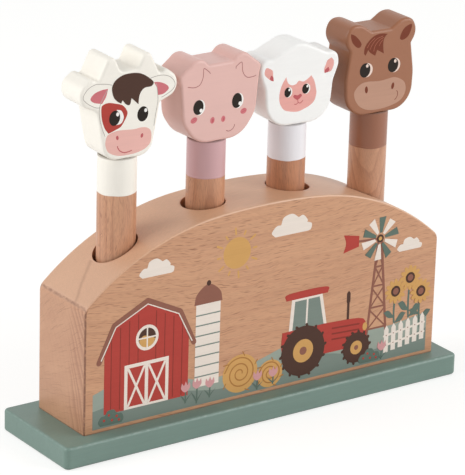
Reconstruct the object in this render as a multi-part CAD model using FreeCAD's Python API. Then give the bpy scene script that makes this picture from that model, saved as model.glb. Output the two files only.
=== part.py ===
import FreeCAD, Part
import math
import os

# Wooden pop-up toy. An arched beech block stands on a painted board. Four loose round pegs
# stand on springs in bores through the block, and each peg carries a thick cut-out animal head.
# Millimetres. Origin: middle of the board's underside. +X runs along the row of pegs,
# +Y points to the back, +Z is up.

Vector = FreeCAD.Vector
UP = Vector(0, 0, 1)
BACK = Vector(0, 1, 0)

# ---- pegs, springs and the bores that guide them ----------------------------------------------
PEG_COUNT = 4
PEG_PITCH = 53.0
PEG_DIAMETER = 20.0
PEG_FOOT_CHAMFER = 0.7
PEG_TOP_CHAMFER = 0.4
PRESS_STROKE = 32.0             # how far a peg goes down
CHIN_GAP = 1.75                 # between a head pressed home and the top of the arch
BORE_CLEARANCE = 1.5            # round a peg that stands in the middle of its bore
BORE_MOUTH_RADIUS = 0.5
SPRING_PRESSED_LENGTH = 12.0    # what is left of a spring under a peg pressed home
SPRING_INSET = 0.75             # outside of the spring, in from the side of the peg
SPRING_WIRE = 1.0               # across the corners of its six-sided section
SPRING_WIRE_SIDES = 6
SPRING_TURNS = 5.0
SPRING_GAP = 0.1                # between the wire and each face that it stands between

# ---- arched block, glued and screwed to the board --------------------------------------------
BLOCK_END_WOOD = 31.5           # from the last bore's axis to the end of the block
BLOCK_WALL = 11.0               # wood in front of a bore, and behind it
CROWN_HEIGHT = 104.25           # top of the arch above the board
SHOULDER_HEIGHT = 67.0          # where the arch meets the block's ends, above the board
CROWN_RADIUS = 345.0            # flatter arc over the middle
CROWN_HALF_ANGLE = 5.04         # degrees of that arc each side of the middle
SHOULDER_RADIUS = 6.0
FRONT_RIM_RADIUS = 1.0          # kept crisp round the printed front
BACK_RIM_RADIUS = 3.0

# ---- base board ----------------------------------------------------------------------------
LEDGE_AT_ENDS = 13.0            # board that shows beyond the block if the block is centred
LEDGE_AT_SIDES = 8.5
BLOCK_X = 3.0                   # where the block is glued, from the middle of the board
BLOCK_Y = 1.0
BOARD_THICKNESS = 12.0
BOARD_CORNER_RADIUS = 3.0
BOARD_EDGE_RADIUS = 1.6

# ---- heads and the pins that join them to the pegs -------------------------------------------
HEAD_THICKNESS = 20.0
HEAD_EDGE_RADIUS = 1.6
PIN_DIAMETER = 8.0
PIN_DEPTH = 14.0                # into the peg, and into the head
PIN_CHAMFER = 0.8
PIN_GLUE_GAP = 0.05
PIN_END_GAP = 0.5

# ---- wood screws up through the board ----------------------------------------------------------
SCREW_DIAMETER = 4.0
SCREW_LENGTH = 32.0
SCREW_HEAD_DIAMETER = 8.0
SCREW_HEAD_SUNK = 0.4           # head below the board's underside
SCREW_TIP_LENGTH = 5.0
SCREW_GAP = 0.06
SCREW_SLOT_WIDTH = 1.0
SCREW_SLOT_LENGTH = 4.6
SCREW_SLOT_DEPTH = 1.6

# ---- worked out ----------------------------------------------------------------------------------
BORE_DIAMETER = PEG_DIAMETER + 2 * BORE_CLEARANCE
BLOCK_LENGTH = (PEG_COUNT - 1) * PEG_PITCH + 2 * BLOCK_END_WOOD
BLOCK_WIDTH = BORE_DIAMETER + 2 * BLOCK_WALL
BOARD_LENGTH = BLOCK_LENGTH + 2 * LEDGE_AT_ENDS
BOARD_WIDTH = BLOCK_WIDTH + 2 * LEDGE_AT_SIDES
SPRING_DIAMETER = PEG_DIAMETER - 2 * SPRING_INSET
SPRING_REST_LENGTH = SPRING_PRESSED_LENGTH + PRESS_STROKE
SEAT_HEIGHT = CROWN_HEIGHT + CHIN_GAP + PRESS_STROKE     # top of a peg at rest, above the board
PEG_LENGTH = SEAT_HEIGHT - SPRING_REST_LENGTH
TOUCH = 0.01                    # two places closer than this are the same place

# Each head is cut to one half outline, mirrored: (half width, height above the peg, corner
# radius) from the top edge, round the ear and the cheek, to the flat that sits on the peg.
COW_OUTLINE = [
    (4.9, 45.7, 2.2),           # root of the horn
    (10.1, 57.0, 3.0),          # horn, rounded well below this corner
    (17.7, 41.3, 1.5),          # between horn and ear
    (21.0, 43.9, 3.0),
    (27.7, 38.9, 6.3),          # tip of the ear, two corners
    (27.9, 30.6, 6.8),
    (18.0, 26.5, 1.9),          # under the ear
    (15.6, 12.8, 30.0),         # long muzzle
    (13.1, 0.0, 8.6),
]
PIG_OUTLINE = [
    (7.4, 40.9, 1.6),           # between the top of the head and the ear
    (12.9, 46.8, 6.5),          # fold of the ear
    (18.9, 41.6, 6.0),
    (25.8, 36.4, 2.8),          # hanging tip of the ear
    (24.4, 32.8, 7.8),
    (22.6, 12.3, 14.7),         # round cheek
    (14.0, 0.0, 15.4),
]
SHEEP_OUTLINE = [
    (0.0, 44.3, 12.0),          # woolly crown
    (16.7, 36.5, 3.0),          # between crown and ear
    (22.8, 36.8, 4.3),          # ear
    (23.8, 29.7, 8.9),
    (20.5, 20.9, 9.3),
    (19.8, 12.5, 20.0),
    (18.1, 0.0, 13.4),
]
HORSE_OUTLINE = [
    (6.2, 45.0, 1.6),           # between the top of the head and the ear
    (13.2, 49.6, 9.4),          # broad ear
    (19.9, 49.0, 5.5),
    (23.6, 41.7, 8.4),
    (19.7, 35.4, 1.5),          # under the ear
    (22.0, 20.0, 30.4),         # cheek
    (21.1, 0.0, 12.9),
]

# name, outline, how the peg stands in its bore (x from the axis, and height over SEAT_HEIGHT),
# how far the head's middle is beside its peg, and how far the face is turned (degrees)
ANIMALS = [
    ("cow", COW_OUTLINE, 0.5, -0.3, 0.5, -2.3),
    ("pig", PIG_OUTLINE, 1.2, 0.0, 1.0, 1.1),
    ("sheep", SHEEP_OUTLINE, -1.2, 0.9, 0.4, -4.2),
    ("horse", HORSE_OUTLINE, -1.2, -1.1, -1.2, -1.2),
]


def bore_centre(index):
    """Plan position of a bore's axis; the row of bores is centred on the block."""
    return Vector(BLOCK_X + (index - (PEG_COUNT - 1) / 2) * PEG_PITCH, BLOCK_Y, 0)


def near(value, target):
    return abs(value - target) < TOUCH


def edges_where(shape, test):
    """The edges that pass the test at five points along them."""
    return [edge for edge in shape.Edges if all(test(point) for point in edge.discretize(5))]


# ---- outlines ----------------------------------------------------------------------------------
def rounded_wire(corners):
    """Closed wire in the XZ plane through corners (x, z, radius), each rounded by an arc."""
    arcs = []
    starts = []
    ends = []
    count = len(corners)
    for i in range(count):
        x, z, radius = corners[i]
        here = Vector(x, 0, z)
        before = Vector(corners[i - 1][0], 0, corners[i - 1][1]) - here
        after = Vector(corners[(i + 1) % count][0], 0, corners[(i + 1) % count][1]) - here
        before.normalize()
        after.normalize()
        half = before.getAngle(after) / 2
        reach = radius / math.tan(half)
        start = here + before * reach
        end = here + after * reach
        bisector = before + after
        bisector.normalize()
        centre = here + bisector * (radius / math.sin(half))
        arcs.append(Part.Arc(start, centre - bisector * radius, end).toShape())
        starts.append(start)
        ends.append(end)
    edges = []
    for i in range(count):
        edges.append(arcs[i])
        edges.append(Part.LineSegment(ends[i], starts[(i + 1) % count]).toShape())
    return Part.Wire(edges)


def mirrored(half_outline):
    """Full outline from its right half; a corner on the centre line isn't doubled."""
    left = [(-x, z, radius) for x, z, radius in reversed(half_outline) if x > 0]
    return half_outline + left


def slab(wire, thickness):
    """A flat piece of the wire's outline, centred on Y = 0."""
    face = Part.Face(wire)
    face.translate(BACK * (-thickness / 2))
    return face.extrude(BACK * thickness)


# ---- base board ----------------------------------------------------------------------------------
def screw_places():
    """One screw in each web between two bores."""
    places = []
    for i in range(PEG_COUNT - 1):
        places.append((bore_centre(i) + bore_centre(i + 1)) * 0.5)
    return places


def screw_profile(grow):
    """Half section of a countersunk screw that points up, grown by a gap all round."""
    head = SCREW_HEAD_DIAMETER / 2 + grow
    shank = SCREW_DIAMETER / 2 + grow
    low = SCREW_HEAD_SUNK
    neck = low + head - shank
    high = low + SCREW_LENGTH + grow
    points = [
        Vector(0, 0, low),
        Vector(head, 0, low),
        Vector(shank, 0, neck),
        Vector(shank, 0, high - SCREW_TIP_LENGTH),
        Vector(0, 0, high),
        Vector(0, 0, low),
    ]
    return Part.Face(Part.makePolygon(points)).revolve(Vector(0, 0, 0), UP, 360)


def screw_hole():
    """Countersunk hole for a screw, open through the board's underside."""
    mouth = Part.makeCylinder(SCREW_HEAD_DIAMETER / 2 + SCREW_GAP, SCREW_HEAD_SUNK)
    return screw_profile(SCREW_GAP).fuse(mouth).removeSplitter()


def base_board():
    board = Part.makeBox(
        BOARD_LENGTH, BOARD_WIDTH, BOARD_THICKNESS,
        Vector(-BOARD_LENGTH / 2, -BOARD_WIDTH / 2, 0))

    def on_corner(p):
        return near(abs(p.x), BOARD_LENGTH / 2) and near(abs(p.y), BOARD_WIDTH / 2)

    board = board.makeFillet(BOARD_CORNER_RADIUS, edges_where(board, on_corner))
    rims = edges_where(board, lambda p: near(p.z, 0) or near(p.z, BOARD_THICKNESS))
    board = board.makeFillet(BOARD_EDGE_RADIUS, rims)
    for place in screw_places():
        hole = screw_hole()
        hole.translate(place)
        board = board.cut(hole)
    return board


def base_screws():
    screws = []
    for place in screw_places():
        screw = screw_profile(0)
        for angle in (0, 90):
            slot = Part.makeBox(
                SCREW_SLOT_LENGTH, SCREW_SLOT_WIDTH, SCREW_SLOT_DEPTH,
                Vector(-SCREW_SLOT_LENGTH / 2, -SCREW_SLOT_WIDTH / 2, SCREW_HEAD_SUNK))
            slot.rotate(Vector(0, 0, 0), UP, angle)
            screw = screw.cut(slot)
        screw.translate(place)
        screws.append(screw)
    return Part.makeCompound(screws)


# ---- arched block --------------------------------------------------------------------------------
def arch_wire():
    """Block outline: straight foot and ends under a three-centred arch."""
    half = BLOCK_LENGTH / 2
    angle = math.radians(CROWN_HALF_ANGLE)
    base = BOARD_THICKNESS
    top = base + CROWN_HEIGHT
    shoulder = base + SHOULDER_HEIGHT
    crown_centre = top - CROWN_RADIUS
    join_x = CROWN_RADIUS * math.sin(angle)
    join_z = crown_centre + CROWN_RADIUS * math.cos(angle)
    # the haunch arc leaves the crown arc without a kink and runs down to the shoulder
    run = half - join_x
    fall = join_z - shoulder
    haunch_radius = (run ** 2 + fall ** 2) / (2 * (fall * math.cos(angle) - run * math.sin(angle)))
    centre_x = join_x - haunch_radius * math.sin(angle)
    centre_z = join_z - haunch_radius * math.cos(angle)
    end_angle = math.atan2(half - centre_x, shoulder - centre_z)
    middle = (angle + end_angle) / 2
    haunch_x = centre_x + haunch_radius * math.sin(middle)
    haunch_z = centre_z + haunch_radius * math.cos(middle)
    left_foot = Vector(-half, 0, base)
    right_foot = Vector(half, 0, base)
    right_shoulder = Vector(half, 0, shoulder)
    left_shoulder = Vector(-half, 0, shoulder)
    right_join = Vector(join_x, 0, join_z)
    left_join = Vector(-join_x, 0, join_z)
    return Part.Wire([
        Part.LineSegment(left_foot, right_foot).toShape(),
        Part.LineSegment(right_foot, right_shoulder).toShape(),
        Part.Arc(right_shoulder, Vector(haunch_x, 0, haunch_z), right_join).toShape(),
        Part.Arc(right_join, Vector(0, 0, top), left_join).toShape(),
        Part.Arc(left_join, Vector(-haunch_x, 0, haunch_z), left_shoulder).toShape(),
        Part.LineSegment(left_shoulder, left_foot).toShape(),
    ])


def body_block():
    block = slab(arch_wire(), BLOCK_WIDTH)
    shoulder = BOARD_THICKNESS + SHOULDER_HEIGHT
    corners = edges_where(block, lambda p: near(abs(p.x), BLOCK_LENGTH / 2) and near(p.z, shoulder))
    block = block.makeFillet(SHOULDER_RADIUS, corners)
    for side, radius in ((-1, FRONT_RIM_RADIUS), (1, BACK_RIM_RADIUS)):
        on_face = edges_where(block, lambda p: near(p.y, side * BLOCK_WIDTH / 2))
        rim = [edge for edge in on_face if edge.BoundBox.ZMax > BOARD_THICKNESS + TOUCH]
        block = block.makeFillet(radius, rim)
    block.translate(Vector(BLOCK_X, BLOCK_Y, 0))
    bore_radius = BORE_DIAMETER / 2
    for i in range(PEG_COUNT):
        bore = Part.makeCylinder(bore_radius, CROWN_HEIGHT, bore_centre(i) + UP * BOARD_THICKNESS)
        block = block.cut(bore)

    def on_mouth(p):
        """On a bore's wall, where the arch cuts it."""
        on_wall = any(near((Vector(p.x, p.y, 0) - bore_centre(i)).Length, bore_radius)
                      for i in range(PEG_COUNT))
        return on_wall and p.z > shoulder

    mouths = [edge for edge in edges_where(block, on_mouth) if edge.BoundBox.ZLength < bore_radius]
    block = block.makeFillet(BORE_MOUTH_RADIUS, mouths)
    for place in screw_places():
        hole = screw_hole()
        hole.translate(place)
        block = block.cut(hole)
    return block


# ---- one spring, peg, pin and head ---------------------------------------------------------------
def spring(index, lift):
    """Compression spring that stands on the board in the middle of its bore."""
    wire_radius = SPRING_WIRE / 2
    coil_radius = SPRING_DIAMETER / 2 - wire_radius
    end_room = SPRING_GAP + wire_radius
    height = SPRING_REST_LENGTH + lift - 2 * end_room
    helix = Part.makeHelix(height / SPRING_TURNS, height, coil_radius)
    corners = []
    for i in range(SPRING_WIRE_SIDES + 1):
        angle = 2 * math.pi * i / SPRING_WIRE_SIDES
        corner = Vector(math.cos(angle), 0, math.sin(angle)) * wire_radius
        corners.append(corner + Vector(coil_radius, 0, 0))
    coil = Part.Wire(helix).makePipeShell([Part.makePolygon(corners)], True, True)
    coil.translate(bore_centre(index) + UP * (BOARD_THICKNESS + end_room))
    return coil


def pin_hole():
    """Blind hole for half a pin, with room for glue round it and past its end."""
    return Part.makeCylinder(PIN_DIAMETER / 2 + PIN_GLUE_GAP, PIN_DEPTH + PIN_END_GAP)


def peg(axis, seat):
    """Turned beech dowel; axis is its plan position and seat the height of its top."""
    dowel = Part.makeCylinder(PEG_DIAMETER / 2, PEG_LENGTH)
    dowel = dowel.makeChamfer(PEG_FOOT_CHAMFER, edges_where(dowel, lambda p: near(p.z, 0)))
    dowel = dowel.makeChamfer(PEG_TOP_CHAMFER, edges_where(dowel, lambda p: near(p.z, PEG_LENGTH)))
    hole = pin_hole()
    hole.translate(UP * (PEG_LENGTH - PIN_DEPTH - PIN_END_GAP))
    dowel = dowel.cut(hole)
    dowel.translate(axis + UP * (seat - PEG_LENGTH))
    return dowel


def pin(axis, seat):
    """Hardwood pin, glued half in the peg and half in the head."""
    length = 2 * PIN_DEPTH
    body = Part.makeCylinder(PIN_DIAMETER / 2, length)
    ends = edges_where(body, lambda p: near(p.z, 0) or near(p.z, length))
    body = body.makeChamfer(PIN_CHAMFER, ends)
    body.translate(axis + UP * (seat - PIN_DEPTH))
    return body


def head(axis, seat, half_outline, beside, turn):
    """Cut-out head with rounded edges, bored from below for its pin."""
    blank = slab(rounded_wire(mirrored(half_outline)), HEAD_THICKNESS)
    rims = edges_where(blank, lambda p: near(abs(p.y), HEAD_THICKNESS / 2))
    blank = blank.makeFillet(HEAD_EDGE_RADIUS, rims)
    blank.translate(Vector(beside, 0, 0))
    blank = blank.cut(pin_hole())
    blank.rotate(Vector(0, 0, 0), UP, turn)
    blank.translate(axis + UP * seat)
    return blank


# ---- write every piece ---------------------------------------------------------------------------
os.makedirs("parts", exist_ok=True)
pieces = {
    "base_board": base_board(),
    "body_block": body_block(),
    "base_screws": base_screws(),
}
for index, (name, outline, stand_x, lift, beside, turn) in enumerate(ANIMALS):
    axis = bore_centre(index) + Vector(stand_x, 0, 0)
    seat = BOARD_THICKNESS + SEAT_HEIGHT + lift
    pieces[name + "_spring"] = spring(index, lift)
    pieces[name + "_peg"] = peg(axis, seat)
    pieces[name + "_pin"] = pin(axis, seat)
    pieces[name + "_head"] = head(axis, seat, outline, beside, turn)

for node, shape in pieces.items():
    shape.exportStep("parts/" + node + ".step")
    print(node, "solids", len(shape.Solids), "valid", shape.isValid(), "volume", round(shape.Volume, 1))
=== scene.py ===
import bmesh
import bpy
import math
from mathutils import Matrix, Vector


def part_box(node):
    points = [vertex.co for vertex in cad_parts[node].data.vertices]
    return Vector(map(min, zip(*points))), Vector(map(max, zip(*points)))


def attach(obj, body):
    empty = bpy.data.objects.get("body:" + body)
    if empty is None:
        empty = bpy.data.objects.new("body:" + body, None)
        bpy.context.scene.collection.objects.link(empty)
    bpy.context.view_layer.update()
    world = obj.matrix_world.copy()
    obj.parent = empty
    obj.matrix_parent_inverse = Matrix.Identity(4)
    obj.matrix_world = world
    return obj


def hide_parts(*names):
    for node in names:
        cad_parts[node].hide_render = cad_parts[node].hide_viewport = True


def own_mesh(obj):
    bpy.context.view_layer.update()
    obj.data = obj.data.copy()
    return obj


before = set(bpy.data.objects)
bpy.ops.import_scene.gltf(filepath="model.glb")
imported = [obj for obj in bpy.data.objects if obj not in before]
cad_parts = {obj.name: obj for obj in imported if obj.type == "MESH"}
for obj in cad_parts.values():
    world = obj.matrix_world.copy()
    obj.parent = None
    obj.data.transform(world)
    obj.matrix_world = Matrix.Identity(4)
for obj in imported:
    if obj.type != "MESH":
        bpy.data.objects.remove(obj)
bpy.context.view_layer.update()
scene = bpy.context.scene
scene.view_settings.view_transform = "Standard"

# ---- camera and table ------------------------------------------------------------------------
# A long lens stands ahead of the toy's left end and a little above it. The toy stands on a white
# table, lit by a big soft lamp from behind its left end, one from the front right and a pale room.


def new_object(name, data):
    """An object of this camera, lamp or mesh, placed in the scene."""
    new = bpy.data.objects.new(name, data)
    scene.collection.objects.link(new)
    return new


camera = new_object("camera", bpy.data.cameras.new("camera"))
camera.location = (-0.861834, -1.205270, 0.624129)
camera.rotation_euler = [math.radians(turn) for turn in (70.2159, -1.5863, -34.8400)]
camera.data.sensor_fit = "HORIZONTAL"
camera.data.sensor_width = 36.0
camera.data.lens = 235.91
scene.camera = camera


def add(tree, kind, sockets=None, **settings):
    """Adds a shader node. Sockets holds its inputs by name or number, as values or links."""
    node = tree.nodes.new("ShaderNode" + kind)
    for name, value in settings.items():
        setattr(node, name, value)
    for key, value in (sockets or {}).items():
        if isinstance(value, bpy.types.NodeSocket):
            tree.links.new(value, node.inputs[key])
        else:
            node.inputs[key].default_value = value
    return node


def tree_of(*values):
    """The node tree that the links among these values lie in."""
    return next(value.id_data for value in values if isinstance(value, bpy.types.NodeSocket))


SIGNS = {"+": "ADD", "-": "SUBTRACT", "*": "MULTIPLY", "*+": "MULTIPLY_ADD"}


def calc(sign, *values, clamp=False):
    """One sum on numbers or links, as a link. The sign *+ stands for a * b + c."""
    sockets = dict(enumerate(values))
    math_node = add(tree_of(*values), "Math", sockets, operation=SIGNS.get(sign, sign), use_clamp=clamp)
    return math_node.outputs[0]


def seen(tree):
    """1 for what the lens, a gloss or a glass sees, and 0 for light on its way to other pieces."""
    rays = add(tree, "LightPath").outputs
    open_view = calc("MAXIMUM", rays["Is Camera Ray"], rays["Is Glossy Ray"])
    return calc("MAXIMUM", open_view, rays["Is Transmission Ray"])


def table_top():
    """White where it is seen, and a plain pale surface to the light on the toy."""
    glow = 0.72
    grey_seen = 0.38
    grey_lit = 0.86
    warm_white = (1.0, 1.0, 0.985, 1.0)
    material = bpy.data.materials.new("white table")
    material.use_nodes = True
    tree = material.node_tree
    tree.nodes.clear()
    view = seen(tree)
    grey = calc("*+", view, grey_seen - grey_lit, grey_lit)
    tone = add(tree, "CombineColor", {0: grey, 1: grey, 2: grey}).outputs[0]
    lit = add(tree, "BsdfDiffuse", {"Color": tone}).outputs[0]
    strength = calc("*", view, glow)
    white = add(tree, "Emission", {"Color": warm_white, "Strength": strength}).outputs[0]
    top = add(tree, "AddShader", {0: lit, 1: white}).outputs[0]
    clear = add(tree, "BsdfTransparent").outputs[0]
    under = add(tree, "NewGeometry").outputs["Backfacing"]
    both = add(tree, "MixShader", {0: under, 1: top, 2: clear}).outputs[0]
    add(tree, "OutputMaterial", {"Surface": both})
    return material


def table():
    """A wide flat sheet just under the board, seen from above only."""
    reach = 6.0
    low = -0.0002
    mesh = bpy.data.meshes.new("table")
    corners = [(-reach, -reach, low), (reach, -reach, low), (reach, reach, low), (-reach, reach, low)]
    mesh.from_pydata(corners, [], [(0, 1, 2, 3)])
    mesh.materials.append(table_top())
    top = new_object("table", mesh)


def lamp(name, place, size, power):
    """A square soft box that faces the middle of the toy."""
    aim = Vector((0.0, 0.0, 0.1))
    data = bpy.data.lights.new(name, "AREA")
    data.size = size
    data.energy = power
    box = new_object(name, data)
    box.location = place
    box.rotation_euler = (aim - box.location).to_track_quat("-Z", "Y").to_euler()


def pale_room():
    """Even light from all round, and white where the lens or a gloss sees past the table."""
    light = 0.46
    world = bpy.data.worlds.new("pale room")
    scene.world = world
    world.use_nodes = True
    tree = world.node_tree
    tree.nodes.clear()
    strength = calc("*+", seen(tree), 1.0 - light, light)
    room = add(tree, "Background", {"Color": (1.0, 1.0, 1.0, 1.0), "Strength": strength})
    add(tree, "OutputWorld", {"Surface": room.outputs[0]})


table()
pale_room()
lamp("left lamp", (-1.55, 0.45, 0.95), size=1.3, power=17.5)
lamp("right lamp", (1.3, -1.3, 0.8), size=1.3, power=20.0)

# ---- base board --------------------------------------------------------------------------------
# A flat beech board with eased edges, rolled with satin sage paint. The grain shows faintly
# through the paint, which is rubbed paler along the edges, partly as a painted highlight, and
# carries painted shade along the foot.


def srgb(red, green, blue):
    """A colour from its screen values, 0 to 255, as a shader takes it."""
    def linear(value):
        value /= 255.0
        return value / 12.92 if value <= 0.04045 else ((value + 0.055) / 1.055) ** 2.4
    return (linear(red), linear(green), linear(blue), 1.0)


SAGE = srgb(112, 137, 127)
# paler paint on the edges: wear, and also a painted highlight along them
SAGE_WORN_HIGHLIGHT = srgb(178, 194, 185)
# painted shade: the colour of the contact shadow along the board's foot
SAGE_FOOT_SHADE = srgb(58, 74, 66)


def ramp(value, start, end, low=0.0, high=1.0):
    """Low up to the start and high from the end on, with an even rise between them."""
    return add(value.id_data, "MapRange", {0: value, 1: start, 2: end, 3: low, 4: high}).outputs[0]


def split(vector):
    """The three parts of a vector."""
    return add(vector.id_data, "SeparateXYZ", {0: vector}).outputs


def vectors(sign, *values):
    """One sum on vectors, as a link."""
    sockets = dict(enumerate(values))
    return add(tree_of(*values), "VectorMath", sockets, operation=SIGNS.get(sign, sign)).outputs[0]


def stretched(point, x, y, z):
    """A point in units of so many millimetres along each axis."""
    return vectors("*", point, (1e3 / x, 1e3 / y, 1e3 / z))


def noise(point, spread, detail=2.0):
    """Soft noise about 0.5, with features of so many millimetres along each axis."""
    sockets = {"Vector": stretched(point, *spread), "Scale": 1.0, "Detail": detail}
    return add(point.id_data, "TexNoise", sockets, noise_dimensions="3D").outputs[0]


def waver(base, ripple, width):
    """A value that noise moves up and down within a band of that width."""
    return calc("*+", calc("-", ripple, 0.5), width, base)


def blended(share, first, second, mode="MIX"):
    """Two colours mixed by a share from 0 to 1."""
    sockets = {0: share, 6: first, 7: second}
    return add(share.id_data, "Mix", sockets, data_type="RGBA", blend_type=mode).outputs[2]


def toned(color, tone):
    """A colour made darker or lighter by a factor."""
    return add(tone.id_data, "VectorMath", {0: color, "Scale": tone}, operation="SCALE").outputs[0]


def new_group(name, inputs, outputs):
    """An empty shader group: its tree, the links that come in, and the sockets to feed."""
    tree = bpy.data.node_groups.new(name, "ShaderNodeTree")
    for title, kind in inputs:
        tree.interface.new_socket(title, in_out="INPUT", socket_type="NodeSocket" + kind)
    for title, kind in outputs:
        tree.interface.new_socket(title, in_out="OUTPUT", socket_type="NodeSocket" + kind)
    return tree, tree.nodes.new("NodeGroupInput").outputs, tree.nodes.new("NodeGroupOutput").inputs


SURFACE_OUTPUTS = [("Color", "Color"), ("Roughness", "Float"), ("Height", "Float")]


def paint_on_wood():
    """Satin paint: faint wood grain under it along X, roller mottle, and the height of both."""
    tree, given, out = new_group(
        "paint on wood", [("Point", "Vector"), ("Paint", "Color"), ("Grain", "Float")],
        SURFACE_OUTPUTS)
    point = given["Point"]
    fibre = noise(point, (14.0, 0.8, 0.8), 3.0)
    streak = noise(point, (55.0, 3.5, 3.5))
    roller = noise(point, (1.1, 1.1, 1.1))
    mottle = noise(point, (30.0, 30.0, 30.0))
    grain = calc("+", calc("-", fibre, 0.5), calc("-", streak, 0.5))
    grain = calc("*", grain, given["Grain"])
    tone = calc("+", waver(grain, mottle, 0.08), 1.0)
    tree.links.new(toned(given["Paint"], tone), out["Color"])
    tree.links.new(calc("*+", roller, 0.16, 0.36), out["Roughness"])
    height = calc("*+", grain, 2.0, calc("*", roller, 0.5))
    tree.links.new(height, out["Height"])
    return tree


PAINT_ON_WOOD = paint_on_wood()


def use(group, sockets):
    """The outputs of one placed copy of a group."""
    return add(tree_of(*sockets.values()), "Group", sockets, node_tree=group).outputs


def new_material(name):
    """A material with its Principled shader's sockets, and the links to places on the piece."""
    material = bpy.data.materials.new(name)
    material.use_nodes = True
    tree = material.node_tree
    return material, tree.nodes["Principled BSDF"].inputs, add(tree, "TexCoord").outputs


def feed(shader, color, roughness, height, depth):
    """Colour, roughness and a bump of so many metres into a shader."""
    tree = color.id_data
    tree.links.new(color, shader["Base Color"])
    tree.links.new(roughness, shader["Roughness"])
    bump = add(tree, "Bump", {"Strength": 1.0, "Distance": depth, "Height": height})
    tree.links.new(bump.outputs[0], shader["Normal"])


def clear_coat(shader, weight, roughness):
    """A thin coat of lacquer over the colour."""
    shader["Coat Weight"].default_value = weight
    shader["Coat Roughness"].default_value = roughness


def finish_with(material, *names):
    """The CAD pieces of these names get the material on every slot."""
    for name in names:
        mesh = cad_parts[name].data
        mesh.materials.clear()
        mesh.materials.append(material)


def board_paint():
    """Sage paint, worn paler and painted lighter as a highlight where two faces of the board meet, with
    painted shade along the foot.
    """
    material, shader, place = new_material("sage board paint")
    point = place["Object"]
    paint = use(PAINT_ON_WOOD, {"Point": point, "Paint": SAGE, "Grain": 0.12})
    # depth under the nearest face along X, Y and Z; the second smallest is small at an edge only
    low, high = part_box("base_board")
    away = vectors("ABSOLUTE", vectors("-", point, (low + high) / 2))
    x, y, z = split(vectors("-", (high - low) / 2, away))
    least = calc("MINIMUM", x, calc("MINIMUM", y, z))
    most = calc("MAXIMUM", x, calc("MAXIMUM", y, z))
    total = calc("+", x, calc("+", y, z))
    second = calc("-", calc("-", total, least), most)
    # edges: the paint is worn paler here, and the paler line also serves as a painted highlight
    near = ramp(second, 0.0010, 0.0003)
    near = calc("*", near, ramp(x, 0.001, 0.003, 0.45, 1.0))
    rub = ramp(noise(point, (3.0, 3.0, 3.0), 4.0), 0.40, 0.66)
    wear_and_highlight = calc("*", near, calc("*+", rub, 0.5, 0.06))
    color = blended(wear_and_highlight, paint["Color"], SAGE_WORN_HIGHLIGHT)
    # painted shade: the paint darkens towards the foot, standing in for the contact shadow on the table
    painted_foot_shade = ramp(split(point)[2], 0.0012, 0.0004, 0.0, 0.6)
    color = blended(painted_foot_shade, color, SAGE_FOOT_SHADE)
    feed(shader, color, paint["Roughness"], paint["Height"], 0.00006)
    clear_coat(shader, 0.15, 0.3)
    return material


finish_with(board_paint(), "base_board")

# ---- wood screws -------------------------------------------------------------------------------
# Three bright zinc countersunk screws come up through the board into the block. Only their
# slotted heads show, from below.


def zinc(name, spread):
    """Bright plated steel with a faint brushed haze."""
    material, shader, place = new_material(name)
    haze = noise(place["Object"], spread, 3.0)
    color = blended(haze, srgb(150, 152, 156), srgb(208, 209, 212))
    feed(shader, color, calc("*+", haze, 0.22, 0.22), haze, 0.00002)
    shader["Metallic"].default_value = 1.0
    return material


finish_with(zinc("zinc screws", (0.5, 0.5, 2.0)), "base_screws")

# ---- arched block ------------------------------------------------------------------------------
# Solid steamed beech, sawn with the grain along the toy so that the front is flat sawn: short dark
# ray flecks lie along it, and the left end shows rays and growth rings. Sanded, thin clear coat.
BLOCK_GROUND = srgb(208, 156, 118)
BLOCK_LATE_WOOD = srgb(184, 130, 96)
BLOCK_FLECK = srgb(136, 82, 44)
# painted sheen: the paler colour of the arch where it faces up
ARCH_SHEEN = srgb(226, 183, 149)
END_GRAIN_TINT = srgb(246, 247, 254)
# painted highlight: the light line along the rim between the arch and the front
RIM_HIGHLIGHT = srgb(236, 198, 168)
DARK_TURN = srgb(140, 96, 72)
MINERAL_STREAK = srgb(158, 114, 90)
JOINT_SHADOW = srgb(92, 66, 50)
block_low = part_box("body_block")[0]


def joined(x, y, z):
    """A vector of three parts."""
    return add(tree_of(x, y, z), "CombineXYZ", {0: x, 1: y, 2: z}).outputs[0]


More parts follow.
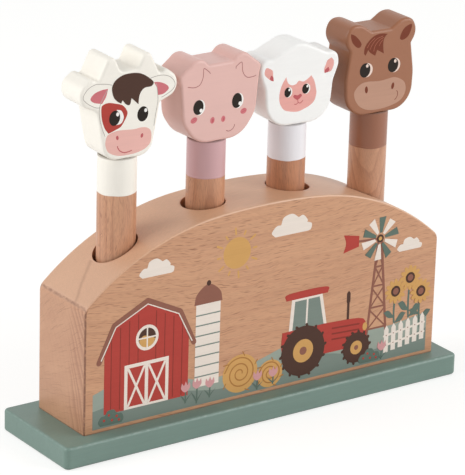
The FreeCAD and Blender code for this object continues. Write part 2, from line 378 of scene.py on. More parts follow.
def beech():
    """Beech with the grain along X and the tree's middle on the line Y = Z = 0."""
    tree, given, out = new_group("beech", [
        ("Point", "Vector"), ("Ground", "Color"), ("Late wood", "Color"), ("Fleck", "Color"),
        ("Flecks", "Float"), ("Rings", "Float"), ("Streaks", "Float")], SURFACE_OUTPUTS)
    point = given["Point"]
    x, y, z = split(point)
    squares = calc("+", calc("*", y, y), calc("*", z, z))
    radius = calc("SQRT", squares)
    angle = calc("ARCTAN2", z, calc("*", y, -1.0))
    usual_radius = 0.15
    arc = calc("*", angle, usual_radius)
    arc = waver(arc, noise(point, (70.0, 45.0, 45.0), 1.0), 0.012)
    arc = waver(arc, noise(point, (9.0, 4.0, 4.0), 1.0), 0.0016)
    polar = joined(x, radius, arc)
    # growth rings of uneven width, each dark at its late edge
    ring_width = 3.4
    wander = noise(polar, (160.0, 30.0, 40.0))
    uneven = noise(polar, (1e4, 7.0, 1e3), 1.0)
    ring = calc("*", radius, 1e3 / ring_width)
    ring = calc("*+", wander, 2.4, ring)
    ring = calc("FRACT", calc("*+", uneven, 1.6, ring))
    late = calc("MAXIMUM", calc("POWER", ring, 3.0), ramp(ring, 0.0, 0.1, 1.0, 0.0))
    # ray flecks in two sizes: long thin cells, dark out to a distance from their middles
    masks = []
    for cell, full, none in (((12.0, 22.0, 0.56), 0.12, 0.27), ((6.5, 12.0, 0.35), 0.12, 0.30)):
        cells = add(tree, "TexVoronoi", {"Vector": stretched(polar, *cell), "Scale": 1.0})
        masks.append(ramp(cells.outputs["Distance"], none, full))
    flecks = calc("MAXIMUM", masks[0], calc("*", masks[1], 0.6))
    flecks = calc("*", flecks, given["Flecks"], clamp=True)
    # fibres, streaks and clouds of tone along the grain
    fibre = noise(polar, (22.0, 0.8, 0.8), 3.0)
    streak = noise(polar, (12.0, 0.5, 0.5))
    cloud = calc("-", noise(polar, (130.0, 26.0, 11.0)), 0.30)
    tint = calc("*+", late, given["Rings"], cloud, clamp=True)
    color = blended(tint, given["Ground"], given["Late wood"])
    color = blended(flecks, color, given["Fleck"])
    tone = waver(calc("*+", fibre, 0.10, 0.95), streak, given["Streaks"])
    tree.links.new(toned(color, tone), out["Color"])
    rough = calc("*+", fibre, 0.2, 0.38)
    tree.links.new(calc("*+", flecks, -0.06, rough), out["Roughness"])
    tree.links.new(calc("*+", flecks, -0.5, fibre), out["Height"])
    return tree


BEECH = beech()


def block_grain(x, y, z):
    """The point as it lay in the tree: behind and over its middle, with grain that dips to the left."""
    middle_y = 0.12
    middle_z = -0.015
    dip_from = -0.045
    dip_slope = -0.16
    dip = calc("MAXIMUM", calc("-", dip_from, x), 0.0)
    height = calc("+", z, calc("*+", dip, dip_slope, -middle_z))
    return joined(x, calc("-", y, middle_y), height)


def dark_turns(point, y, along, back, up):
    """Dark line where the arch turns down to each end, and down the left front corner."""
    rub = ramp(noise(point, (2.0, 2.0, 2.0)), 0.35, 0.6, 0.2, 0.85)
    halfway = 0.86
    turn = calc("ABSOLUTE", calc("-", calc("ABSOLUTE", along), halfway))
    turn = ramp(turn, 0.10, 0.02)
    corner = ramp(calc("*", along, back), 0.1, 0.35, 0.0, 1.6)
    upright = calc("*", ramp(up, 0.4, 0.1), calc("LESS_THAN", y, 0.0))
    corner = calc("*", corner, upright)
    return calc("*", calc("MAXIMUM", turn, corner), rub, clamp=True)


def mineral_streak(point, x, y, up):
    """A thin streak across the arch, from the first bore to the left end."""
    slope = -0.826
    offset = -0.0779
    streak = calc("*+", x, slope, calc("+", y, offset))
    streak = waver(streak, noise(point, (6.0, 6.0, 6.0)), 0.003)
    streak = ramp(calc("ABSOLUTE", streak), 0.0019, 0.0001, 0.0, 0.42)
    on_arch = calc("GREATER_THAN", up, 0.5)
    left_of_bore = calc("LESS_THAN", x, -0.0885)
    return calc("*", streak, calc("*", on_arch, left_of_bore))


def block_wood():
    """Beech of the block: flecked front, a top painted paler as a sheen, rings and rays on the end grain."""
    material, shader, place = new_material("beech block")
    point = place["Object"]
    x, y, z = split(point)
    along, back, up = split(place["Normal"])
    end = calc("ABSOLUTE", along)
    flat_sawn = calc("ABSOLUTE", back)
    # how strong the flecks, rings and streaks are on each face
    flecks = ramp(flat_sawn, 0.3, 0.95, 0.10, 0.8)
    flecks = calc("*", flecks, ramp(x, -0.02, 0.05, 1.0, 0.75))
    flecks = calc("MAXIMUM", flecks, calc("*", calc("POWER", end, 8.0), 0.5))
    near_front = ramp(y, block_low.y + 0.016, block_low.y + 0.003, 0.06, 2.2)
    rings = calc("*", calc("POWER", end, 6.0), near_front)
    rings = calc("+", rings, calc("*+", flat_sawn, 0.2, 0.08))
    wood = use(BEECH, {
        "Point": block_grain(x, y, z), "Ground": BLOCK_GROUND, "Late wood": BLOCK_LATE_WOOD,
        "Fleck": BLOCK_FLECK, "Flecks": flecks, "Rings": rings,
        "Streaks": ramp(up, 0.2, 0.6, 0.34, 0.7)})
    # painted sheen on the arch where it faces up, cooler end grain, and a painted highlight line along the
    # rim of the front
    color = blended(ramp(up, 0.25, 0.6, 0.0, 0.55), wood["Color"], ARCH_SHEEN)
    color = blended(ramp(end, 0.1, 0.8), color, END_GRAIN_TINT, mode="MULTIPLY")
    # painted highlight: a light line along the rim between the arch and the front, left of the crown only
    rim_highlight = ramp(calc("*", up, back), -0.2, -0.45, 0.0, 0.5)
    rim_highlight = calc("*", rim_highlight, ramp(x, -0.08, -0.03))
    color = blended(rim_highlight, color, RIM_HIGHLIGHT)
    color = blended(dark_turns(point, y, along, back, up), color, DARK_TURN)
    color = blended(mineral_streak(point, x, y, up), color, MINERAL_STREAK)
    foot = ramp(z, block_low.z + 0.0008, block_low.z, 0.0, 0.8)
    color = blended(foot, color, JOINT_SHADOW)
    feed(shader, color, wood["Roughness"], wood["Height"], 0.00003)
    clear_coat(shader, 0.3, 0.28)
    return material


finish_with(block_wood(), "body_block")

# ---- printed picture on the block ------------------------------------------------------------
# A farm scene screen printed on the bare wood of the front: barn, silo, bales, tractor, wind
# pump, fence and flowers on low hills, in the colours of the heads. Thin flat layers of ink.


def line_through(points, closed):
    """Smooth line through the points in short steps. The third value of a sharp corner is 0."""
    count = len(points)
    slopes = []
    for i, point in enumerate(points):
        ahead = points[(i + 1) % count]
        behind = points[i - 1]
        if len(point) == 3 or (not closed and i in (0, count - 1)):
            slopes.append(None)
        else:
            slopes.append(((ahead[0] - behind[0]) / 6, (ahead[1] - behind[1]) / 6))
    smooth = []
    for i in range(count if closed else count - 1):
        j = (i + 1) % count
        a, b = points[i], points[j]
        out = slopes[i] or ((b[0] - a[0]) / 3, (b[1] - a[1]) / 3)
        into = slopes[j] or ((b[0] - a[0]) / 3, (b[1] - a[1]) / 3)
        steps = 1 if slopes[i] is None and slopes[j] is None else 6
        for k in range(steps):
            t = k / steps
            s = 1 - t
            smooth.append(tuple(
                s ** 3 * a[n] + 3 * s * s * t * (a[n] + out[n])
                + 3 * s * t * t * (b[n] - into[n]) + t ** 3 * b[n] for n in (0, 1)))
    if not closed:
        smooth.append(points[-1][:2])
    return smooth


def patch(*points):
    """A filled shape with a smooth edge."""
    return line_through(points, True)


def oval(x, z, half_width, half_height, lean=0.0, steps=28):
    """A filled oval that leans by so many degrees."""
    turn = math.radians(lean)
    ring = []
    for i in range(steps):
        angle = math.tau * i / steps
        a, b = half_width * math.cos(angle), half_height * math.sin(angle)
        ring.append((
            x + a * math.cos(turn) - b * math.sin(turn),
            z + a * math.sin(turn) + b * math.cos(turn)))
    return ring


def round_point(x, z, reach, angle):
    """The point so far from x and z, at an angle in radians."""
    return (x + reach * math.cos(angle), z + reach * math.sin(angle))


def round_end(end, before, width):
    """Points round the end of a pen line that comes from before, from its left to its right."""
    angle = math.atan2(end[1] - before[1], end[0] - before[0])
    return [round_point(*end, width / 2, angle + math.pi / 2 - math.pi * k / 4) for k in (1, 2, 3)]


def stroke(width, *points):
    """A pen line of that width with round ends."""
    path = line_through(points, False)
    left, right = [], []
    for i, (x, z) in enumerate(path):
        before = path[max(i - 1, 0)]
        after = path[min(i + 1, len(path) - 1)]
        dx, dz = after[0] - before[0], after[1] - before[1]
        size = math.hypot(dx, dz) or 1.0
        side = (-dz / size * width / 2, dx / size * width / 2)
        left.append((x + side[0], z + side[1]))
        right.append((x - side[0], z - side[1]))
    last = round_end(path[-1], path[-2], width)
    first = round_end(path[0], path[1], width)
    return left + last + right[::-1] + first


def ink(name, *screen_values):
    """Satin printing ink that lets a little wood grain through."""
    material, shader, place = new_material(name + " ink")
    flat = use(PAINT_ON_WOOD, {"Point": place["Object"], "Paint": srgb(*screen_values), "Grain": 0.10})
    feed(shader, flat["Color"], flat["Roughness"], flat["Height"], 0.00003)
    shader["Specular IOR Level"].default_value = 0.18
    return material


def plate(mesh, outline, low, high, slot):
    """A closed plate between two heights, with one material slot."""
    if sum(a[0] * b[1] - b[0] * a[1] for a, b in zip(outline, outline[1:] + outline[:1])) < 0:
        outline = outline[::-1]
    foot, top = [[mesh.verts.new((x, z, height)) for x, z in outline] for height in (low, high)]
    faces = [mesh.faces.new(top), mesh.faces.new(foot[::-1])]
    for i in range(len(outline)):
        j = (i + 1) % len(outline)
        faces.append(mesh.faces.new((foot[i], foot[j], top[j], top[i])))
    for face in faces:
        face.material_index = slot


def printed(name, origin, right, outward, shapes):
    """Ink layers on a flat face: each shape is a thin closed plate, above those it overlaps.

    Shapes are (ink, outline) in the order they are printed, in millimetres along right and up."""
    sheet = 0.02
    sunk = -0.02
    mesh = bmesh.new()
    inks = []
    laid = []
    for material, outline in shapes:
        if material not in inks:
            inks.append(material)
        xs = [x for x, z in outline]
        zs = [z for x, z in outline]
        box = (min(xs), max(xs), min(zs), max(zs))
        below = [
            level for level, other in laid
            if box[0] < other[1] and other[0] < box[1] and box[2] < other[3] and other[2] < box[3]]
        level = 1 + max(below, default=0)
        laid.append((level, box))
        plate(mesh, outline, sunk, level * sheet, inks.index(material))
    mesh.normal_update()
    many_sided = [face for face in mesh.faces if len(face.verts) > 4]
    bmesh.ops.triangulate(mesh, faces=many_sided, ngon_method="EAR_CLIP")
    bmesh.ops.dissolve_degenerate(mesh, dist=0.0005, edges=mesh.edges)
    axes = Matrix((right, (0, 0, 1), outward)).transposed().to_4x4()
    metres = Matrix.Scale(0.001, 4)
    data = bpy.data.meshes.new(name)
    mesh.to_mesh(data)
    mesh.free()
    data.transform(Matrix.Translation(origin) @ axes @ metres)
    for material in inks:
        data.materials.append(material)
    return new_object(name, data)


SAGE_INK = ink("sage", 126, 139, 130)
PALE_SAGE_INK = ink("pale sage", 156, 166, 154)
DEEP_SAGE_INK = ink("deep sage", 98, 115, 104)
BRICK_INK = ink("brick red", 181, 68, 59)
DEEP_BRICK_INK = ink("deep brick", 138, 55, 46)
BARK_INK = ink("bark brown", 145, 96, 80)
DARK_INK = ink("dark brown", 78, 52, 42)
CREAM_INK = ink("cream", 240, 228, 216)
STRAW_INK = ink("straw", 212, 163, 98)
DEEP_STRAW_INK = ink("deep straw", 176, 122, 66)
PINK_INK = ink("dusty pink", 214, 158, 158)


def hills():
    """Two low ridges with a flat foot, the pale one behind."""
    yield PALE_SAGE_INK, patch(
        (-103, 14, 0), (-103, 33, 0), (-84, 38), (-60, 35), (-34, 27), (-6, 30), (22, 37), (48, 39),
        (76, 33), (109, 36, 0), (109, 14, 0))
    yield SAGE_INK, patch(
        (-103, 14, 0), (-103, 24, 0), (-78, 27), (-50, 24), (-22, 20), (8, 24), (38, 26), (66, 21),
        (92, 24), (109, 27, 0), (109, 14, 0))


def placed(x, z, wide, high, *points):
    """Points of a drawing with its zero at x and z, so many times as wide and high."""
    return [(x + a * wide, z + b * high, *corner) for a, b, *corner in points]


def barn(x, z, size):
    """Gambrel barn 40 wide at size 1, with its middle at x and its sill at z."""
    def at(*points):
        return placed(x, z, size, size, *points)
    yield BRICK_INK, at((-20, 0), (20, 0), (20, 25), (15, 36), (0, 43), (-15, 36), (-20, 25))
    board = 4.2
    for k in (-4, -3, -2, -1, 1, 2, 3, 4):
        top = 41.5 - abs(k) * 2.0 if abs(k) < 4 else 32.0
        yield DEEP_BRICK_INK, stroke(0.5, *at((k * board, 1.0), (k * board, top)))
    yield CREAM_INK, at((-10.5, 0), (10.5, 0), (10.5, 19), (-10.5, 19))
    yield BRICK_INK, at((-9, 1), (-0.8, 1), (-0.8, 17.5), (-9, 17.5))
    yield BRICK_INK, at((0.8, 1), (9, 1), (9, 17.5), (0.8, 17.5))
    for side in (-1, 1):
        yield CREAM_INK, stroke(1.3, *at((8.6 * side, 1.5), (1.2 * side, 17)))
        yield CREAM_INK, stroke(1.3, *at((8.6 * side, 17), (1.2 * side, 1.5)))
    yield CREAM_INK, oval(x, z + 29 * size, 5.4 * size, 5.4 * size)
    yield DARK_INK, oval(x, z + 29 * size, 4.1 * size, 4.1 * size)
    yield STRAW_INK, patch(*at(
        (-3.9, 28, 0), (-1.8, 30), (1.4, 29.3), (3.9, 28, 0), (2.6, 25.8), (0, 24.9), (-2.6, 25.8)))
    yield CREAM_INK, stroke(0.8, *at((0, 24.2), (0, 33.8)))
    yield CREAM_INK, stroke(0.8, *at((-4.9, 29), (4.9, 29)))
    for eaves, ridge in (((22.5, 22.5), (15.6, 37)), ((15.6, 37), (0, 44.6))):
        for side in (-1, 1):
            yield BARK_INK, stroke(3.0, *at((side * eaves[0], eaves[1]), (side * ridge[0], ridge[1])))
    yield CREAM_INK, stroke(0.6, *at(
        (-21.5, 23.4), (-14.9, 36.2, 0), (0, 43.2, 0), (14.9, 36.2, 0), (21.5, 23.4)))


def silo(x, z):
    """Round store 15 wide with a brown dome."""
    yield CREAM_INK, placed(x, z, 1, 1, (-7.5, 0), (7.5, 0), (7.5, 45), (-7.5, 45))
    yield BARK_INK, patch(*placed(x, z, 1, 1, (-8.7, 45, 0), (-7, 51), (0, 55.5), (7, 51), (8.7, 45, 0)))
    yield DARK_INK, oval(x, z + 56, 1.3, 1.5)
    hoop_gap = 5.6
    for k in range(1, 8):
        yield SAGE_INK, stroke(0.7, (x - 7.3, z + hoop_gap * k), (x + 7.3, z + hoop_gap * k))


def bale(x, z, radius):
    """Round straw bale seen on its rolled end."""
    coil = []
    for k in range(26):
        angle = 0.62 * k
        reach = radius * (0.12 + 0.031 * k)
        coil.append((x + reach * math.cos(angle), z + reach * 0.96 * math.sin(angle)))
    yield STRAW_INK, oval(x, z, radius, radius * 0.96)
    yield DEEP_STRAW_INK, stroke(0.7, *coil)
    for angle in (20, 75, 140, 205, 290, 335):
        a = math.radians(angle)
        tip = (x + radius * 1.12 * math.cos(a + 0.15), z + radius * 1.08 * math.sin(a + 0.15))
        yield DEEP_STRAW_INK, stroke(0.6, round_point(x, z, radius * 0.9, a), tip)


def wheel(x, z, radius, hub):
    """Tractor wheel with 14 lugs that stands on z."""
    middle = z + radius
    inner = radius * 0.85
    outer = radius + 0.2
    for k in range(14):
        a = math.tau * k / 14
        yield DARK_INK, stroke(1.6, round_point(x, middle, inner, a), round_point(x, middle, outer, a + 0.1))
    yield DARK_INK, oval(x, middle, radius - 0.4, radius - 0.4)
    yield STRAW_INK, oval(x, middle, hub, hub)
    yield BARK_INK, oval(x, middle, hub * 0.35, hub * 0.35)


def tractor(x, z, size):
    """Small tractor that heads right; x is its rear axle and z the ground."""
    def at(*points):
        return placed(x, z, size, size, *points)
    yield DARK_INK, stroke(1.6, *at((23, 20), (23, 33)))
    yield DARK_INK, stroke(2.4, *at((23, 29), (23, 32.5)))
    yield CREAM_INK, at((-8, 18), (-6.5, 36), (9, 36), (12.5, 18))
    yield SAGE_INK, at((-6, 20), (-4.9, 34.3), (7.7, 34.3), (10.6, 20))
    yield CREAM_INK, stroke(1.1, *at((1.2, 20), (1.5, 35)))
    yield BRICK_INK, patch(*at((-9.5, 35.3, 0), (-8.5, 38.2), (10.8, 38.2), (12, 35.3, 0)))
    yield BRICK_INK, patch(*at(
        (-11, 13), (-11, 20.5), (-9, 21.5), (10, 21.5), (11, 21.5), (28, 20.5), (32.5, 18), (33, 10),
        (31, 8), (4, 8), (-8, 9)))
    for vent in (18.5, 16, 13.5):
        yield DEEP_BRICK_INK, stroke(0.9, *at((15, vent), (29, vent - 0.7)))
    yield STRAW_INK, oval(x + 32.2 * size, z + 16 * size, 1.2 * size, 1.8 * size)
    yield from wheel(x, z, 11.5 * size, 5.2 * size)
    yield from wheel(x + 28 * size, z, 7.2 * size, 3.1 * size)


def wind_pump(x, z, height):
    """Lattice tower with a wheel of vanes and a tail."""
    top = z + height
    yield BARK_INK, stroke(1.5, (x - 7, z), (x - 1, top))
    yield BARK_INK, stroke(1.5, (x + 7, z), (x + 1, top))
    for share in (0.16, 0.36, 0.56, 0.74):
        upper = share + 0.18
        rail = z + height * share
        half = 7 - 6 * share
        narrow = 7 - 6 * upper
        yield BARK_INK, stroke(1.0, (x - half, rail), (x + half, rail))
        yield BARK_INK, stroke(0.8, (x - half, rail), (x + narrow, z + height * upper))
        yield BARK_INK, stroke(0.8, (x + half, rail), (x - narrow, z + height * upper))
    yield BARK_INK, stroke(1.2, (x, top), (x - 17, top + 1))
    yield BRICK_INK, patch(*placed(
        x, top, 1, 1, (-14, -2, 0), (-24, -4, 0), (-22.5, 1), (-24, 6, 0), (-14, 4, 0)))
    vane = ((3, 0.7), (11.5, 2.5), (12.2, -1.9), (3.4, -0.8))
    for k in range(10):
        a = math.tau * (k + 0.3) / 10
        ray = (math.cos(a), math.sin(a))
        side = (-ray[1], ray[0])
        outline = [(x + r * ray[0] + s * side[0], top + r * ray[1] + s * side[1]) for r, s in vane]
        yield CREAM_INK if k % 2 else DEEP_SAGE_INK, outline
    yield DARK_INK, oval(x, top, 2.2, 2.2)
    yield STRAW_INK, oval(x, top, 1.1, 1.1)


def fence(first, last, z, rise):
    """Cream pickets on two rails that follow the slope."""
    for low in (4, 9.5):
        yield CREAM_INK, stroke(1.3, (first - 1.5, z + low), (last + 1.5, z + rise + low))
    gaps = 5
    for k in range(gaps + 1):
        x = first + (last - first) * k / gaps
        foot = z + rise * k / gaps
        yield CREAM_INK, placed(x, foot, 1, 1, (-1.5, 0), (1.5, 0), (1.5, 13), (0, 15.5), (-1.5, 13))
        for nail in (4.2, 9.7):
            yield BARK_INK, oval(x, foot + nail, 0.35, 0.35, steps=10)


def leaf(x, z, height, *points):
    """A leaf of a flower that stands on z; the points go up in shares of the flower's height."""
    return DEEP_SAGE_INK, patch(*placed(x, z, 1, height, *points))


def sunflower(x, z, height, radius):
    """Sunflower on a stem with two leaves."""
    top = z + height
    yield DEEP_SAGE_INK, stroke(1.2, (x + 1, z), (x - 0.6, z + height * 0.5), (x, top))
    yield leaf(x, z, height, (0, 0.42, 0), (-4, 0.6), (-7.5, 0.58, 0), (-4.5, 0.45))
    yield leaf(x, z, height, (0, 0.3, 0), (4, 0.5), (7.5, 0.48, 0), (4.5, 0.33))
    for k in range(12):
        a = math.tau * k / 12
        petal = round_point(x, top, radius * 0.72, a)
        yield STRAW_INK, oval(*petal, radius * 0.36, radius * 0.19, math.degrees(a), 14)
    yield DARK_INK, oval(x, top, radius * 0.46, radius * 0.46)
    yield BARK_INK, oval(x, top, radius * 0.28, radius * 0.28)


def cloud(x, z, size):
    """Cream cloud with a flat foot."""
    yield CREAM_INK, patch(*placed(
        x, z, size, size, (-9, 0, 0), (-11, 2.2), (-8.5, 5), (-6, 5.2, 0), (-4.5, 8.6), (0, 9.6),
        (3.6, 7.4, 0), (6.2, 8), (8.6, 5.4), (8.4, 4.4, 0), (11, 3.2), (10.6, 0.6), (9, 0, 0)))


def sun(x, z, radius):
    """Sun with long and short rays by turns."""
    yield STRAW_INK, oval(x, z, radius, radius)
    near = radius + 1.8
    for k in range(12):
        a = math.tau * k / 12 + 0.1
        far = radius + (5.0 if k % 2 else 3.6)
        yield STRAW_INK, stroke(1.1, round_point(x, z, near, a), round_point(x, z, far, a))


def tulip(x, z, height):
    """Pink tulip with a leaf each side."""
    top = z + height
    yield DEEP_SAGE_INK, stroke(0.9, (x, z), (x + 0.3, top))
    yield leaf(x, z, height, (0, 0, 0), (-2, 0.4), (-3.6, 0.75, 0), (-0.9, 0.4))
    yield leaf(x, z, height, (0, 0, 0), (2, 0.35), (3.8, 0.65, 0), (1, 0.3))
    yield PINK_INK, patch(*placed(
        x, top, 1, 1, (-2.2, 4.2, 0), (-2.6, 1), (0, -1.2), (2.8, 1), (2.6, 4.2, 0), (1.3, 2.6),
        (0.2, 4.8, 0), (-0.9, 2.6)))


def bush(x, z, size):
    """Low round bush with a few berries."""
    yield DEEP_SAGE_INK, patch(*placed(
        x, z, size, size, (-8, 0, 0), (-9.6, 3), (-7.4, 6.4), (-4.6, 6.8), (-2.6, 9.6), (2, 9.8), (4.6, 7),
        (8, 6.2), (9.4, 2.6), (8, 0, 0)))
    for a, b in ((-5.2, 3.6), (-1.6, 6.6), (0.8, 2.8), (4.2, 5), (6, 2.2)):
        yield BRICK_INK, oval(x + a * size, z + b * size, 0.9 * size, 0.9 * size, steps=14)


# the whole picture, from what lies behind to what stands in front
farm_scene = [
    *hills(), *sun(-17, 93, 8.5), *cloud(-66, 90, 0.95), *cloud(17, 97, 1.15), *cloud(95, 74, 0.75),
    *silo(-34, 24), *barn(-71, 21, 1.27), *bale(-13, 26, 11), *bale(6, 22, 8), *wind_pump(75, 24, 60),
    *sunflower(87, 26, 26, 6.6), *sunflower(96.5, 26, 32, 6.6), *sunflower(104, 26, 23, 6.6),
    *fence(82, 106, 18, 3), *tractor(27, 16, 1.25), *bush(-92, 15, 0.8), *bush(71, 15, 0.75),
    *tulip(-47, 17, 7), *tulip(-40, 15.5, 9), *tulip(-32, 17, 6.5), *tulip(-2, 15, 6),
    *tulip(8, 16, 5), *tulip(79, 15, 6)]
block_front = Vector((0, block_low.y, 0))
picture = printed("farm_print", block_front, Vector((1, 0, 0)), Vector((0, -1, 0)), farm_scene)
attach(picture, "base")

# ---- springs -----------------------------------------------------------------------------------
# One round-wire compression spring at the bottom of each bore, wound with a closed turn at each
# end. It carries the peg's foot, and shortens as the peg is pressed down.


def coil_height(turn, turns, wire_radius, length):
    """Height of the wire's middle over the spring's foot, after so many turns."""
    closed = 1.0
    end_rise = 2.05 * wire_radius
    rise = length - 2 * wire_radius
    if turn < closed:
        height = end_rise * turn / closed
    elif turn > turns - closed:
        height = rise - end_rise * (turns - turn) / closed
    else:
        height = end_rise + (rise - 2 * end_rise) * (turn - closed) / (turns - 2 * closed)
    return wire_radius + height


def spring(animal):
    """Wound wire tube in the place of the animal's spring."""
    wire_radius = 0.00046
    turns = 7.0
    steps = 22
    sides = 8
    low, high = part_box(animal + "_spring")
    centre = (low + high) / 2
    length = high.z - low.z
    coil_radius = (high.x - low.x) / 2 - wire_radius
    mesh = bmesh.new()
    rings = []
    for i in range(int(turns * steps) + 1):
        turn = i / steps
        height = coil_height(turn, turns, wire_radius, length)
        angle = math.tau * turn
        out = Vector((math.cos(angle), math.sin(angle), 0))
        ring = []
        for k in range(sides):
            around = math.tau * k / sides
            spot = out * (coil_radius + wire_radius * math.cos(around))
            spot += Vector((centre.x, centre.y, low.z + height + wire_radius * math.sin(around)))
            ring.append(mesh.verts.new(spot))
        rings.append(ring)
    for a, b in zip(rings, rings[1:]):
        for k in range(sides):
            j = (k + 1) % sides
            mesh.faces.new((a[k], a[j], b[j], b[k])).smooth = True
    mesh.faces.new(rings[0][::-1])
    mesh.faces.new(rings[-1])
    bmesh.ops.recalc_face_normals(mesh, faces=mesh.faces)
    data = bpy.data.meshes.new(animal + "_coil")
    mesh.to_mesh(data)
    mesh.free()
    data.materials.append(SPRING_STEEL)
    coil = new_object(animal + "_coil", data)
    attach(coil, animal + "_bounce")
    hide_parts(animal + "_spring")
    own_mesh(coil)


SPRING_STEEL = zinc("spring wire", (1.0, 1.0, 1.0))
for animal in ("cow", "pig", "sheep", "horse"):
    spring(animal)

# ---- pegs --------------------------------------------------------------------------------------
# Turned beech dowels, 20 across. The top of each is dipped in its head's paint; the dip ends in a
# slightly uneven line. Fixed to the head by a glued dowel pin.
PEG_LATE_WOOD = srgb(172, 118, 88)
PEG_FLECK = srgb(138, 88, 62)
SEAM_SHADOW = srgb(96, 80, 70)
COW_PAINT = srgb(251, 246, 235)
PIG_DIP = srgb(207, 163, 165)
SHEEP_DIP = srgb(242, 239, 242)
HORSE_DIP = srgb(149, 93, 65)


def dip_line():
    """Share of paint, 1 above a height in metres, and the raised edge where the paint ends."""
    tree, given, out = new_group(
        "dip line", [("Point", "Vector"), ("Height", "Float")], [("Paint", "Float"), ("Edge", "Float")])
    over = calc("-", split(given["Point"])[2], given["Height"])
    over = waver(over, noise(given["Point"], (9.0, 9.0, 400.0)), 0.0012)
    paint = add(tree, "MapRange", {0: over, 1: -0.0001, 2: 0.0001}, interpolation_type="SMOOTHSTEP")
    tree.links.new(paint.outputs[0], out["Paint"])
    edge = calc("ABSOLUTE", calc("-", over, 0.0005))
    tree.links.new(ramp(edge, 0.0007, 0.0), out["Edge"])
    return tree


DIP_LINE = dip_line()


def dipped_peg(animal, dip_height, paint_color, pith, slope, ground):
    """Beech with its grain along Z, painted above dip_height. Pith is the tree's middle in plan.

    Slope is how far the grain runs off the peg's axis, which draws pointed arches on its side."""
    material, shader, place = new_material("dipped " + animal + " peg")
    point = place["Object"]
    x, y, z = split(point)
    shortened = 1.5
    away = calc("*", calc("-", z, dip_height), slope)
    across = calc("+", calc("-", y, pith[1]), away)
    upright = joined(calc("*", z, shortened), across, calc("-", x, pith[0]))
    wood = use(BEECH, {
        "Point": upright, "Ground": ground, "Late wood": PEG_LATE_WOOD,
        "Fleck": PEG_FLECK, "Flecks": 0.65, "Rings": 0.5, "Streaks": 0.5})
    paint = use(PAINT_ON_WOOD, {"Point": upright, "Paint": paint_color, "Grain": 0.05})
    dip = use(DIP_LINE, {"Point": point, "Height": dip_height})
    color = blended(dip["Paint"], wood["Color"], paint["Color"])
    # the shadow line of the glued joint under the head
    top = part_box(animal + "_peg")[1].z
    seam = ramp(z, top - 0.0009, top - 0.0003, 0.0, 0.55)
    color = blended(seam, color, SEAM_SHADOW)
    tree = material.node_tree
    rough = add(tree, "Mix", {0: dip["Paint"], 2: wood["Roughness"], 3: paint["Roughness"]}).outputs[0]
    height = add(tree, "Mix", {0: dip["Paint"], 2: wood["Height"], 3: paint["Height"]}).outputs[0]
    height = calc("*+", dip["Edge"], 2.0, calc("+", height, dip["Paint"]))
    feed(shader, color, rough, height, 0.00005)
    clear_coat(shader, 0.25, 0.28)
    finish_with(material, animal + "_peg")


dipped_peg("cow", 0.1303, COW_PAINT, (-0.06, 0.14), 0.02, srgb(213, 160, 125))
dipped_peg("pig", 0.1301, PIG_DIP, (-0.05, -0.10), 0.03, srgb(210, 154, 118))
dipped_peg("sheep", 0.1315, SHEEP_DIP, (0.06, 0.13), 0.02, srgb(200, 138, 99))
dipped_peg("horse", 0.1294, HORSE_DIP, (0.101, 0.036), -0.3, srgb(205, 152, 118))

# ---- dowel pins --------------------------------------------------------------------------------
# Grooved beech dowels, glued half in the peg and half in the head. Nothing of them shows.


def pin_wood():
    """Plain pale beech with upright grain."""
    material, shader, place = new_material("beech dowel pin")
    x, y, z = split(place["Object"])
    wood = use(BEECH, {
        "Point": joined(z, y, x), "Ground": srgb(214, 170, 142), "Late wood": srgb(190, 142, 112),
        "Fleck": srgb(160, 112, 88), "Flecks": 0.5, "Rings": 0.4, "Streaks": 0.3})
    feed(shader, wood["Color"], wood["Roughness"], wood["Height"], 0.00005)
    return material


finish_with(pin_wood(), "cow_pin", "pig_pin", "sheep_pin", "horse_pin")

# ---- heads -------------------------------------------------------------------------------------
# Thick cut-outs of beech with rounded rims, sprayed all over with satin paint. The face is
# printed on the flat front.
PIG_PAINT = srgb(228, 184, 175)
# painted shade: the deeper colours of the upright sides of the pig and horse heads
PIG_SIDE_SHADE = srgb(217, 171, 161)
SHEEP_PAINT = srgb(252, 251, 248)
HORSE_PAINT = srgb(156, 99, 66)
HORSE_SIDE_SHADE = srgb(134, 80, 46)


def painted_head(animal, front_color, side_shade_color):
    """Satin paint all over one head, with its upright sides painted deeper as painted shade."""
    material, shader, place = new_material(animal + " head paint")
    # painted shade: the upright sides take a deeper colour, standing in for the shade they fall in
    side = ramp(calc("ABSOLUTE", split(place["Normal"])[0]), 0.35, 0.9)
    paint_with_side_shade = blended(side, front_color, side_shade_color)
    paint = use(PAINT_ON_WOOD, {"Point": place["Object"], "Paint": paint_with_side_shade, "Grain": 0.045})
    feed(shader, paint["Color"], paint["Roughness"], paint["Height"], 0.00005)
    clear_coat(shader, 0.2, 0.3)
    finish_with(material, animal + "_head")


def print_face(animal, beside, foot, turned, shapes):
    """Ink on the front of a head that is turned by so many degrees.

    Shapes are in millimetres from a point so far beside the peg's axis and so high."""
    low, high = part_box(animal + "_peg")
    axis_x = round((low.x + high.x) / 2, 4)
    axis_y = round((low.y + high.y) / 2, 4)
    turn = math.radians(turned)
    right = Vector((math.cos(turn), math.sin(turn), 0))
    outward = Vector((math.sin(turn), -math.cos(turn), 0))
    axis_to_front = 0.010
    origin = Vector((axis_x, axis_y, foot)) + right * beside + outward * axis_to_front
    face = printed(animal + "_face", origin, right, outward, shapes)
    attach(face, animal + "_figure")


